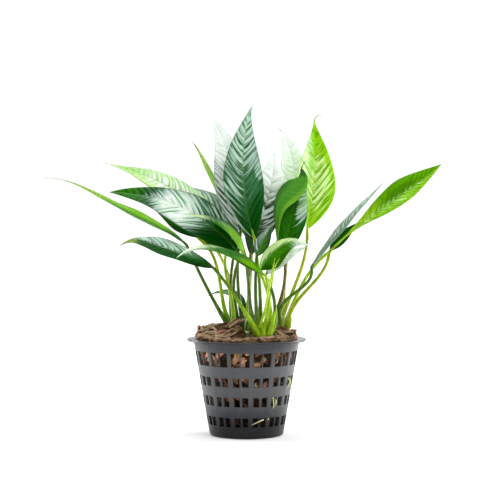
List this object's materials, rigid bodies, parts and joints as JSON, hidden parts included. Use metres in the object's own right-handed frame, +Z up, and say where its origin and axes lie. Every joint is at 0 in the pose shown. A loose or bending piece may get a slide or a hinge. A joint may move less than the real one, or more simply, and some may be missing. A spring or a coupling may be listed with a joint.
{
  "type": "potted anubias",
  "caption": "Potted anubias: glossy spear-shaped leaves on long stalks that rise from short rhizomes in a slotted plastic net pot filled with bark.",
  "frame": {"origin": "centre of the pot's underside, on the surface that it stands on", "axes": "+Z up; -Y towards the plant's front, where the picture was taken from; +X to the right as seen from there"},
  "size_m": [0.1998, 0.1031, 0.1662],
  "materials": {
    "pot_plastic": "satin",
    "bark_soil": "rough",
    "rhizome_skin": "satin",
    "root_pale": "matte",
    "stalk_green": "satin",
    "leaf_dark": "glossy",
    "leaf_silver": "glossy",
    "leaf_lime": "glossy"
  },
  "bodies": {
    "root": {"leaf_arched_front": "leaf_lime", "leaf_arched_right": "leaf_lime", "leaf_broad_left": "leaf_dark", "leaf_curled_left": "leaf_dark", "leaf_far_left": "leaf_lime", "leaf_far_right": "leaf_lime", "leaf_folded_right": "leaf_lime", "leaf_glossy_right": "leaf_dark", "leaf_grey_left": "leaf_silver", "leaf_hidden_left": "leaf_dark", "leaf_lime_right": "leaf_lime", "leaf_low_left": "leaf_dark", "leaf_mint_left": "leaf_silver", "leaf_narrow_middle": "leaf_silver", "leaf_narrow_right": "leaf_silver", "leaf_olive_edge": "leaf_lime", "leaf_pale_back": "leaf_silver", "leaf_rear_left": "leaf_dark", "leaf_rear_middle": "leaf_dark", "leaf_rear_right": "leaf_dark", "leaf_short_right": "leaf_dark", "leaf_silver_back": "leaf_silver", "leaf_silver_right": "leaf_silver", "leaf_tall_front": "leaf_dark", "leaf_under_right": "leaf_silver", "pot": "pot_plastic", "rhizome_front": "rhizome_skin", "rhizome_left": "rhizome_skin", "rhizome_right": "rhizome_skin", "root_low": "root_pale", "root_middle": "root_pale", "root_right": "root_pale", "stalk_arched_front": "stalk_green", "stalk_arched_right": "stalk_green", "stalk_broad_left": "stalk_green", "stalk_curled_left": "stalk_green", "stalk_far_left": "stalk_green", "stalk_far_right": "stalk_green", "stalk_folded_right": "stalk_green", "stalk_glossy_right": "stalk_green", "stalk_grey_left": "stalk_green", "stalk_hidden_left": "stalk_green", "stalk_lime_right": "stalk_green", "stalk_low_left": "stalk_green", "stalk_mint_left": "stalk_green", "stalk_narrow_middle": "stalk_green", "stalk_narrow_right": "stalk_green", "stalk_olive_edge": "stalk_green", "stalk_pale_back": "stalk_green", "stalk_rear_left": "stalk_green", "stalk_rear_middle": "stalk_green", "stalk_rear_right": "stalk_green", "stalk_short_right": "stalk_green", "stalk_silver_back": "stalk_green", "stalk_silver_right": "stalk_green", "stalk_tall_front": "stalk_green", "stalk_under_right": "stalk_green", "substrate": "bark_soil", "young_leaf_front": "leaf_lime", "young_leaf_left": "leaf_dark"}
  },
  "joints": []
}
